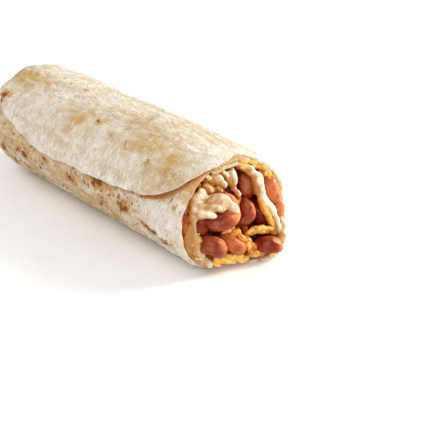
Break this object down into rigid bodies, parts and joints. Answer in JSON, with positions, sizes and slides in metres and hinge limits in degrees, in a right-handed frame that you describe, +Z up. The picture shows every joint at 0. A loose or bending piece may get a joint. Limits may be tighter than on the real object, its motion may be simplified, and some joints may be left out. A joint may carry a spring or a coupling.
{
  "type": "burrito",
  "caption": "Rolled flour-tortilla burrito lying on its side, one end tucked shut, the other open and showing beans, rice and melted cheese sauce.",
  "frame": {"origin": "middle of the lowest face of the bounding box, on the surface the burrito lies on", "axes": "+X along the roll from the shut end to the open end, +Z up, -Y the side where the free edge of the sheet shows"},
  "size_m": [0.1906, 0.0662, 0.059],
  "materials": {
    "tortilla": "matt soft flour tortilla with toasted spots",
    "filling": "moist seasoned rice, slightly glossy",
    "bean": "wet cooked bean skin, glossy",
    "cheese_sauce": "smooth melted cheese sauce, softly glossy",
    "cheddar": "melted yellow cheese, softly glossy"
  },
  "bodies": {
    "root": {"tortilla": "tortilla", "filling": "filling", "bean_1": "bean", "bean_2": "bean", "bean_3": "bean", "bean_4": "bean", "bean_5": "bean", "bean_6": "bean", "bean_7": "bean", "bean_8": "bean", "bean_9": "bean", "bean_10": "bean", "bean_11": "bean", "bean_12": "bean", "cheese_sauce_right": "cheese_sauce", "cheese_sauce_left": "cheese_sauce", "cheese_sauce_top": "cheese_sauce", "melted_cheddar": "cheddar"}
  },
  "joints": []
}
